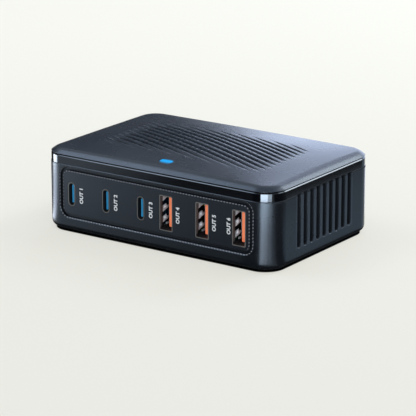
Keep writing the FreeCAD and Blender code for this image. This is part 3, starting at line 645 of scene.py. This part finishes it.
def shaded_housing(name, base, shade):
    """Satin housing: moulded plastic, with painted light on the field of upright grooves on the side walls.

    The grooves and the ledge over the ribs' tops are dark and dull with painted shade,
    which runs in with their depth.
    """
    mat = moulded(name, base, 0.28, depth=0.0004 * MM, specular=0.4, sheen=SATIN_SHEEN)
    field_side, field_foot = (18.9 * MM, 18.7 * MM), (5.7 * MM, 6.1 * MM)
    ledge_foot, ledge_depth = (24.9 * MM, 25.5 * MM), (2.4 * MM, 2.0 * MM)
    groove_depth, ledge_share, lighter, darker = (0.02 * MM, 0.22 * MM), 0.85, 3.2, 1.6
    depth = mat.maths("SUBTRACT", HALF.x, mat.axis("X", True))
    field = mat.maths("MULTIPLY", mat.between(mat.axis("Y", True), *field_side),
                      mat.between(mat.axis("Z"), *field_foot))
    ledge = mat.maths("MULTIPLY", mat.between(mat.axis("Z"), *ledge_foot), mat.between(depth, *ledge_depth))
    groove = mat.maths("MULTIPLY", field, mat.between(depth, *groove_depth))
    dark = mat.maths("MAXIMUM", groove, mat.maths("MULTIPLY", ledge, ledge_share))
    # Painted light makes the rib field lighter, and painted shade darkens the grooves and the ledge
    mat.layer(field, [lighter * c for c in base])
    mat.layer(dark, [darker * c for c in shade])
    mat.dull(dark, 0.25, 0.31, 0.55)
    return mat


def grooved_plastic(name, base, shade, light):
    """Satin cover: moulded plastic, darker and duller with painted shade in the grooves, and a painted glow
    spilled by the status light.

    The spill fades with the distance from a short line, a little right of the light's middle and before it.
    """
    mat = moulded(name, base, 0.27, depth=0.0002 * MM, specular=0.45, sheen=COVER_SHEEN)
    # Painted shade in the grooves, from the piece's groove attribute
    groove = mat.stored("groove")
    mat.layer(groove, shade)
    mat.dull(groove, 0.25, 0.30, 0.45)
    # Painted glow of the status light, spilling onto the cover round its hole
    right, before, straight = 0.6 * MM, 0.3 * MM, 0.8 * MM
    fade, share = (2.3 * MM, 0.9 * MM), 0.55
    beside = mat.maths("ABSOLUTE", mat.maths("SUBTRACT", mat.axis("X"), right))
    along = mat.maths("MAXIMUM", mat.maths("SUBTRACT", beside, straight), 0.0)
    across = mat.maths("SUBTRACT", mat.axis("Y"), LIGHT_Y - before)
    spill = mat.between(mat.distance(along, across), *fade)
    mat.glow(mat.blend(spill, BLACK, [share * c for c in light]), 1.0)
    return mat


def recessed_panel(name, base, shade):
    """Matte panel: moulded plastic, with painted shade in the moat behind its raised face, in a diamond
    lattice.
    """
    mat = moulded(name, base, 0.38, 0.35 * MM, 0.003 * MM, 0.4, SATIN_SHEEN)
    diamond, start, end, lighter = 0.75 * MM, 0.05 * MM, 0.35 * MM, 4
    turned = mat.stretched((1, 0, 1), (0, math.pi / 4, 0))
    lattice = mat.node("ShaderNodeTexChecker", Vector=turned, Scale=1 / diamond).outputs["Fac"]
    # The moat's painted shade: the shade colour and a lighter one in a diamond lattice
    moat = mat.blend(lattice, shade, [c * lighter for c in shade])
    mat.layer(mat.between(mat.axis("Y"), FACE_Y + start, FACE_Y + end), moat)
    return mat


def highlit_beads(name, base, tip):
    """Beaded line: dark between the beads, with a painted highlight on their tips."""
    mat = moulded(name, base, 0.4, 0.3 * MM, 0.004 * MM, 0.2)
    mat.layer(mat.stored("bead"), tip)
    return mat


def deep_tongue(name, base, front, reach, glow):
    """Socket tongue: coloured plastic, with a painted glow at its front and painted shade further in."""
    unlit = 0.04
    mat = moulded(name, base, 0.45, 0.2 * MM, 0.003 * MM)
    # Painted shade, near black, deeper in the socket, and a painted glow at the front
    inside = mat.between(mat.axis("Y"), FACE_Y + front, FACE_Y + front + reach)
    mat.layer(inside, [c * unlit for c in base])
    mat.glow(mat.blend(inside, base, BLACK), glow)
    return mat


def lacquered(name, base, rough):
    """Glossy black band: piano finish with a faint orange peel and hairlines along its length."""
    mat = Finish(name, base, rough, 0.0, 0.4)
    mat.join((*BAND_SHEEN, 1), "Specular Tint")
    peel = mat.noise(3.5 * MM, 1.0)
    hair = mat.noise(0.5 * MM, 2.0, mat.stretched((0.1, 0.1, 4.0)))
    return mat.texture(peel, 0.15, 0.002 * MM, hair, 0.03)


def socket_shell(name, inside, dark_to, floor, rim, throat):
    """Drawn steel sleeve: grey rim with a painted highlight, painted dark reflection in the throat, painted
    shade on the floor, and bare grained sheet further in.
    """
    floor_shade, rim_fade = (0.018, 0.018, 0.020), (0.10 * MM, 0.04 * MM)
    throat_blur, floor_blur = 0.25 * MM, 0.4 * MM
    mat = Finish(name, inside, 0.55, 0.35)
    streak = mat.noise(0.2 * MM, 3.0, mat.stretched((1.0, 0.1, 1.0)))
    mat.texture(streak, 0.12, 0.002 * MM, mat.noise(3 * MM), 0.06)
    depth = mat.maths("SUBTRACT", mat.axis("Y"), FACE_Y)
    # Painted dark reflection in the throat, painted shade on the floor and a painted highlight on the rim
    mat.layer(mat.between(depth, dark_to + throat_blur, dark_to), (throat, throat, 1.05 * throat))
    mat.layer(mat.between(mat.axis("Z"), floor + floor_blur, floor), floor_shade)
    mat.layer(mat.between(depth, *rim_fade), (rim, rim, 0.96 * rim))
    return mat


def worked_metal(name, base, rough, lay=(1.0, 1.0, 1.0), grain=0.2 * MM):
    """Rolled or drawn metal: grain stretched along the lay, dull and bright patches."""
    mat = Finish(name, base, rough, 1.0)
    streak = mat.noise(grain, 3.0, mat.stretched(lay))
    return mat.texture(streak, 0.14, 0.002 * MM, mat.noise(3 * MM), 0.06)


def lit_lens(name, base):
    """Frosted pill lit from below: glows at its top only, most along its middle and not at its left end."""
    unlit, edge, across = 0.04, 0.75, (1.1 * MM, 0.3 * MM)
    left_end, below_top = (-2.4 * MM, -1.8 * MM), (2.0 * MM, 0.8 * MM)
    mat = Finish(name, [c * unlit for c in base], 0.35, 0.0, 0.1)
    away = mat.maths("ABSOLUTE", mat.maths("SUBTRACT", mat.axis("Y"), LIGHT_Y))
    tone = mat.blend(mat.between(away, *across), [c * edge for c in base], base)
    top = mat.between(mat.axis("Z"), *[LIGHT_TOP - drop for drop in below_top])
    lit = mat.maths("MULTIPLY", top, mat.between(mat.axis("X"), *left_end))
    mat.glow(mat.blend(lit, BLACK, tone), 1.0)
    mat.relief(mat.noise(0.25 * MM), 0.004 * MM)
    return mat


def printed_board(name, base):
    """Solder mask over copper: paler tracks in a brick pattern and a fine weave under a glossy coat."""
    mat = Finish(name, base, 0.3)
    bricks = mat.node("ShaderNodeTexBrick", Vector=mat.place, Scale=180.0, Mortar_Size=0.06)
    mat.join(mat.blend(bricks.outputs["Fac"], base, [c * 1.8 + 0.01 for c in base]), "Base Color")
    weave = mat.noise(0.6 * MM)
    mat.relief(weave, 0.006 * MM)
    mat.vary_rough(weave, 0.05)
    return mat


def wound_wire(name, base, wire):
    """Turns of enamelled wire side by side: rounded ridges with dark gaps, slightly uneven."""
    mat = Finish(name, base, 0.28, 0.9)
    bands = {"wave_type": "BANDS", "bands_direction": "DIAGONAL"}
    turns = mat.node("ShaderNodeTexWave", bands, Vector=mat.place, Scale=WAVE / wire, Distortion=0.6,
                     Detail=1.0, Detail_Scale=0.5).outputs["Fac"]
    return mat.texture(turns, 0.45, wire / 3, mat.noise(2 * MM), 0.08)


def sintered(name, base, rough=0.6, grain=0.15 * MM):
    """Pressed ceramic or ferrite: dull, finely pitted, with paler specks."""
    mat = Finish(name, base, rough)
    pit = mat.noise(grain, 4.0, roughness=0.7)
    return mat.texture(pit, 0.3, 0.012 * MM, mat.noise(4 * MM), 0.07)


def wrapped(name, base, rough, lap=3.0 * MM):
    """Wrapped film or sleeve: faint lap lines, slow ripples and a soft shine."""
    mat = Finish(name, base, rough)
    bands = {"wave_type": "BANDS", "bands_direction": "Z", "wave_profile": "SAW"}
    laps = mat.node("ShaderNodeTexWave", bands, Vector=mat.place, Scale=WAVE / lap, Distortion=0.4)
    ripple = mat.noise(2.5 * MM)
    mat.tint(laps.outputs["Fac"], 0.10)
    mat.relief(ripple, 0.03 * MM)
    mat.vary_rough(ripple, 0.06)
    return mat


def grained_rubber(name, base):
    """Soft rubber: dull, with a fine leathery grain and dust-pale high spots."""
    mat = Finish(name, base, 0.85, 0.0, 0.25)
    cell = 0.5 * MM
    cells = mat.node("ShaderNodeTexVoronoi", Vector=mat.place, Scale=1 / cell).outputs["Distance"]
    return mat.texture(cells, 0.25, 0.02 * MM, mat.noise(3 * MM), 0.06)


def printed_ink(name, base):
    """Screen print: opaque pale ink with thin patches and a ragged film."""
    mat = Finish(name, base, 0.55)
    film = mat.noise(0.2 * MM, 3.0)
    return mat.texture(film, 0.08, 0.004 * MM, film, 0.05)


class CHARGER_OT_finishes(bpy.types.Operator):
    """Paint every part of the charger with its own material"""

    bl_idname = "charger.finishes"
    bl_label = "Finishes"

    def execute(self, context):
        c = context.scene.charger_finish
        # The maker of each slot's finish and what it takes
        recipes = {
            "housing_plastic": (shaded_housing, c.housing, c.shade),
            "cover_plastic": (grooved_plastic, c.cover, c.shade, c.light),
            "panel_plastic": (recessed_panel, c.panel, c.shade),
            "band_gloss": (lacquered, c.band, 0.10),
            "socket_steel": (socket_shell, (0.60, 0.70, 0.77), 1.6 * MM, 9.5 * MM, 0.17, 0.075),
            "tongue_blue": (deep_tongue, c.narrow_tongue, 1.8 * MM, 2.5 * MM, 0.24),
            "tongue_orange": (deep_tongue, c.wide_tongue, 3.0 * MM, 2.5 * MM, 0.38),
            "contact_gold": (worked_metal, (0.83, 0.60, 0.25), 0.22, (1.0, 0.2, 1.0), 0.1 * MM),
            "light_blue": (lit_lens, c.light),
            "led_package": (moulded, (0.75, 0.74, 0.68), 0.4, 0.2 * MM),
            "board_green": (printed_board, (0.01, 0.11, 0.045)),
            "screw_steel": (worked_metal, (0.55, 0.55, 0.56), 0.32),
            "chip_black": (moulded, (0.02, 0.02, 0.022), 0.6, 0.15 * MM, 0.006 * MM),
            "inlet_black": (moulded, (0.012, 0.012, 0.014), 0.42, 0.3 * MM, 0.006 * MM),
            "pin_brass": (worked_metal, (0.66, 0.62, 0.52), 0.24, (1.0, 0.15, 1.0)),
            "fuse_brown": (moulded, (0.12, 0.05, 0.02), 0.5),
            "disc_blue": (sintered, (0.03, 0.14, 0.42), 0.45, 0.4 * MM),
            "ferrite": (sintered, (0.035, 0.035, 0.038)),
            "copper_wire": (wound_wire, (0.72, 0.28, 0.10), 1.2 * MM),
            "film_yellow": (moulded, (0.75, 0.55, 0.04), 0.45),
            "tape_yellow": (wrapped, (0.80, 0.58, 0.03), 0.35),
            "bobbin_black": (moulded, (0.02, 0.02, 0.02), 0.5),
            "can_aluminium": (worked_metal, (0.75, 0.76, 0.77), 0.34, (1.0, 1.0, 0.1)),
            "can_sleeve": (wrapped, (0.03, 0.035, 0.05), 0.3, 6.0 * MM),
            "sheet_aluminium": (worked_metal, (0.72, 0.73, 0.74), 0.38, (0.1, 1.0, 1.0)),
            "pad_grey": (sintered, (0.30, 0.31, 0.33), 0.8, 0.3 * MM),
            "film_clear": (wrapped, (0.55, 0.56, 0.52), 0.25, 8.0 * MM),
            "foot_rubber": (grained_rubber, (0.018, 0.018, 0.019)),
            "label_ink": (printed_ink, c.ink),
            "bead_plastic": (highlit_beads, c.panel, c.bead),
            # Near black inside: painted shade in the narrow sockets, with a painted highlight on the rim
            "narrow_socket_steel": (socket_shell, (0.012, 0.012, 0.013), 0.3 * MM, 11.0 * MM, 0.14, 0.018),
        }
        finishes = {slot: maker(slot, *values).material for slot, (maker, *values) in recipes.items()}
        for name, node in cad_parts.items():
            slot = node.data.materials[0].name.split(".")[0]
            narrow = name.startswith("usb_c_shell")
            node.data.materials[0] = finishes["narrow_socket_steel" if narrow else slot]
        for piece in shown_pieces():
            if piece.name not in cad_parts:
                slot = "bead_plastic" if piece.name.endswith("_beads") else piece.get("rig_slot", "label_ink")
                piece.data.materials.clear()
                piece.data.materials.append(finishes[slot])
        return {"FINISHED"}


PALE = (0.90, 0.96, 1.0)
WARM = (0.98, 0.97, 1.0)
LAVENDER = (0.86, 0.92, 1.06)
SLATE = (0.66, 0.84, 1.0)
BLUE = (0.80, 0.92, 1.2)
SKY_BLUE = (0.82, 0.93, 1.12)

# Azimuth, elevation, the two angles of its spread, radiance and tint of each lamp
LAMPS = {
    "back_box": (181, 12, (62, 26), 2.4, BLUE),
    "back_key": (161, 33, (17, 15), 11.0, PALE),
    "corner_key": (138, 48, (22, 14), 4.5, PALE),
    "slope_box": (192, 36, (34, 14), 1.7, BLUE),
    "front_line": (-60, 50.5, (8, 7), 5.0, PALE),
    "left_high": (-70, 51, (30, 20), 3.0, SKY_BLUE),
    "front_box": (45, 14, (26, 26), 4.5, PALE),
}


def softbox(name, azimuth, elevation, spread, radiance, tint):
    """Rectangular lamp that faces the charger and spreads over two angles.

    The azimuth goes from the front to the right. The power is pi times area times radiance.
    """
    distance, aim = 0.9, Vector((0, 0, 0.02))
    a, e = math.radians(azimuth), math.radians(elevation)
    place = Vector((math.sin(a) * math.cos(e), -math.cos(a) * math.cos(e), math.sin(e))) * distance
    width, height = (2 * distance * math.tan(math.radians(side / 2)) for side in spread)
    lamp = bpy.data.lights.new(name, "AREA")
    lamp.shape, lamp.size, lamp.size_y = "RECTANGLE", width, height
    lamp.energy, lamp.color = math.pi * width * height * radiance, tint
    holder = placed(name, lamp)
    holder.location = place + aim
    holder.rotation_euler = (-place).to_track_quat("-Z", "Y").to_euler()
    holder.visible_camera = False


def fan_strip(apex, azimuths, distances):
    """Plan of a fan: directions from an apex between two azimuths, as a near row and a far row of points."""
    points_per_row = 9
    turn = np.radians(np.linspace(*azimuths, points_per_row))
    fan = np.stack([np.sin(turn), -np.cos(turn)], axis=1)
    return [np.array(apex) + fan * distance for distance in distances]


def flat_strip(low, high):
    """Plan of a rectangle, as a near row and a far row of two points."""
    return [np.array([(low[0], y), (high[0], y)]) for y in (low[1], high[1])]


def floor_card(name, rows, level, radiance, tint=PALE, fade=None):
    """Card on the floor that only reflections see: a strip between two rows of points.

    Its light is one radiance, or runs from a first to a second along X between the two places of a fade.
    """
    count = len(rows[0])
    near = np.arange(count - 1)
    faces = np.stack([near, near + count, near + count + 1, near + 1], axis=1)
    mesh = new_mesh(name, np.c_[np.concatenate(rows), np.full(2 * count, level)], faces.tolist())
    card = placed(name, mesh)
    card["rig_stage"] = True
    card.visible_camera = card.visible_diffuse = card.visible_shadow = False
    mat = Finish(name, BLACK, 1.0, 0.0, 0.0)
    mat.glow((*tint, 1), radiance)
    if fade:
        start, end, last = fade
        mat.join(mat.spread(mat.axis("X"), radiance, last, start, end), "Emission Strength")
    mesh.materials.append(mat.material)


class CHARGER_OT_stage(bpy.types.Operator):
    """Set up the pale floor, the sky, the soft lamps, the cards and the camera"""

    bl_idname = "charger.stage"
    bl_label = "Stage"

    def execute(self, context):
        stage = context.scene.charger_stage
        scene = context.scene
        scene.view_settings.view_transform = "Standard"

        half = stage.floor_size / 2
        square = [(-half, -half, 0), (half, -half, 0), (half, half, 0), (-half, half, 0)]
        mesh = new_mesh("floor", square, [(0, 1, 2, 3)])
        floor = placed("floor", mesh)
        floor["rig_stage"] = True
        mesh.materials.append(self.paper(stage))

        scene.world = self.studio(stage)
        for name, settings in LAMPS.items():
            softbox(name, *settings)
        self.cards()

        camera = bpy.data.cameras.new("camera")
        camera.lens, camera.sensor_width, camera.sensor_fit = stage.lens, 36.0, "HORIZONTAL"
        camera.clip_start, camera.clip_end = 0.05, 10.0
        holder = placed("camera", camera)
        holder.location = stage.camera_place
        holder.rotation_euler = (math.pi / 2 - stage.elevation, 0, stage.azimuth)
        scene.camera = holder
        return {"FINISHED"}

    def studio(self, stage):
        """Sky that is dim near the horizon and bright overhead."""
        world = bpy.data.worlds.new("studio")
        world.use_nodes = True
        sky = Nodes(world.node_tree)
        sky.tree.nodes.clear()
        dim_to, bright_from, tint = 0.30, 0.75, (0.93, 0.97, 1.0, 1)
        place = sky.node("ShaderNodeTexCoord").outputs["Generated"]
        up = sky.node("ShaderNodeSeparateXYZ", Vector=place).outputs["Z"]
        strength = sky.spread(up, stage.horizon, stage.sky, dim_to, bright_from, "SMOOTHSTEP")
        back = sky.node("ShaderNodeBackground", Color=tint, Strength=strength).outputs["Background"]
        sky.node("ShaderNodeOutputWorld", Surface=back)
        return world

    def cards(self):
        """Lit cards for the bright lines down the corners, and dark flags for the dark beside them.

        The housing mirrors the floor up to a reach, and the glossy band above it mirrors the floor past that
        reach. Levels are heights over the floor.
        """
        flag_foot, foot, reach, end = 9 * MM, 17 * MM, 94 * MM, 140 * MM
        low, high, highest = 0.2 * MM, 0.3 * MM, 0.35 * MM
        x, y = HALF.x - CORNER, HALF.y - CORNER
        near, left, far = (x, -y), (-x, -y), (x, y)
        wall, band, flag = (foot, reach), (reach, end), (flag_foot, end)
        # Apex, azimuths, distances, radiance and tint of each fan
        fans = {
            "near_card_0": (near, (10, 24), wall, 8.0, WARM),
            "near_card_1": (near, (24, 40), wall, 5.2, WARM),
            "near_card_2": (near, (40, 58), wall, 2.6, WARM),
            "near_card_3": (near, (58, 75), wall, 0.8, WARM),
            "near_band_card": (near, (9, 42), band, 36.0, PALE),
            "near_band_side": (near, (42, 61), band, 14.0, PALE),
            "left_card": (left, (-85, -55), wall, 7.0, LAVENDER),
            "left_band_card": (left, (-85, -55), band, 20.0, PALE),
            "edge_card": (far, (180, 215), wall, 3.0, LAVENDER),
            "near_flag_front": (near, (-31, 8), flag, 0.02, PALE),
            "near_flag_right": (near, (75, 117), flag, 0.05, PALE),
            "left_flag": (left, (-150, -92), flag, 0.08, PALE),
        }
        for name, (apex, azimuths, distances, radiance, tint) in fans.items():
            floor_card(name, fan_strip(apex, azimuths, distances), high, radiance, tint)
        # Two corners, radiance, tint and fade of each strip
        strips = {
            "front_flag": ((-0.16, -0.097), (0.05, -0.036), 1.3, PALE, (-0.075, 0.015, 0.3)),
            "front_band_flag": ((-0.16, -0.26), (0.05, -0.098), 1.4, PALE, (-0.095, -0.046, 0.13)),
            "side_card": ((0.052, -0.02), (0.098, 0.16), 0.6, SLATE, None),
            "right_band_flag": ((0.0985, -0.06), (0.26, 0.16), 0.1, PALE, None),
        }
        for name, (start, stop, radiance, tint, fade) in strips.items():
            floor_card(name, flat_strip(start, stop), low, radiance, tint, fade)
        outs, points = (-3 * MM, 2.5 * MM), (40, 30)
        rings = [rounded_outline((HALF.x + out, HALF.y + out), CORNER + out, points)[0] for out in outs]
        floor_card("base_flag", [np.concatenate([ring, ring[:1]]) for ring in rings], highest, 0.04)

    def paper(self, stage):
        """Pale paper with a painted shadow under the charger, and painted light a little lighter at the back.

        Part of its colour is its own, so the shadow stays soft.
        """
        patch, front, back, darker, lighter = 0.35, -0.25, 0.45, 0.97, 1.13
        # Colour of the painted shadow under the charger
        under = (0.008, 0.010, 0.012)
        mat = Finish("floor_paper", stage.floor, 0.9, 0.0, 0.0)
        mat.tint(mat.noise(patch, 1.0), 0.01)
        away = mat.maths("ADD", mat.maths("MULTIPLY", mat.axis("X"), -math.sin(stage.azimuth)),
                         mat.maths("MULTIPLY", mat.axis("Y"), math.cos(stage.azimuth)))
        # Painted light: the floor's own colour a little lighter towards the back
        shade = mat.blend(mat.between(away, front, back), [c * darker for c in stage.floor],
                          [min(1, c * lighter) for c in stage.floor])
        glow = mat.node("ShaderNodeEmission", Color=shade)
        path = mat.node("ShaderNodeLightPath").outputs
        seen = mat.maths("MAXIMUM", path["Is Camera Ray"],
                         mat.maths("MAXIMUM", path["Is Glossy Ray"], path["Is Transmission Ray"]))
        outside = self.outside(mat)
        # Painted shadow: near black under the charger's footprint
        mat.layer(mat.maths("SUBTRACT", 1.0, outside), under)
        lit = mat.maths("MULTIPLY", outside, stage.glow)
        mix = mat.node("ShaderNodeMixShader", Fac=mat.maths("MULTIPLY", seen, lit))
        mat.give(mix.inputs[1], mat.shader.outputs[0])
        mat.give(mix.inputs[2], glow.outputs[0])
        mat.give(mat.tree.nodes["Material Output"].inputs["Surface"], mix.outputs[0])
        return mat.material

    def outside(self, mat):
        """0 under the charger and 1 round it: a step in the distance from a rectangle inside its plan."""
        corner, start, end = 9.1 * MM, 1.5 * MM, 1.1 * MM
        over = [mat.maths("MAXIMUM", mat.maths("SUBTRACT", mat.axis(name, True), reach - corner), 0.0)
                for name, reach in (("X", HALF.x), ("Y", HALF.y))]
        return mat.between(mat.distance(*over), corner - start, corner - end)


class CHARGER_PT_panel(bpy.types.Panel):
    """Steps of the desk charger"""

    bl_idname = "CHARGER_PT_panel"
    bl_label = "Desk charger"
    bl_space_type = "VIEW_3D"
    bl_region_type = "UI"
    bl_category = "Charger"

    def draw(self, context):
        for step in STEPS:
            self.layout.operator(step.bl_idname)


GROUPS = {"charger_cover": CoverSettings, "charger_beads": BeadSettings, "charger_labels": LabelSettings,
          "charger_finish": FinishSettings, "charger_stage": StageSettings}
STEPS = (CHARGER_OT_cover, CHARGER_OT_beads, CHARGER_OT_labels, CHARGER_OT_finishes, CHARGER_OT_stage)
CLASSES = (*GROUPS.values(), *STEPS, CHARGER_PT_panel)


def register():
    for item in CLASSES:
        bpy.utils.register_class(item)
    for name, group in GROUPS.items():
        setattr(bpy.types.Scene, name, PointerProperty(type=group))


def unregister():
    for name in GROUPS:
        delattr(bpy.types.Scene, name)
    for item in reversed(CLASSES):
        bpy.utils.unregister_class(item)


def main():
    register()
    bpy.ops.charger.cover()
    bpy.ops.charger.beads()
    bpy.ops.charger.labels()
    bpy.ops.charger.finishes()
    bpy.ops.charger.stage()


if __name__ == "__main__":
    main()
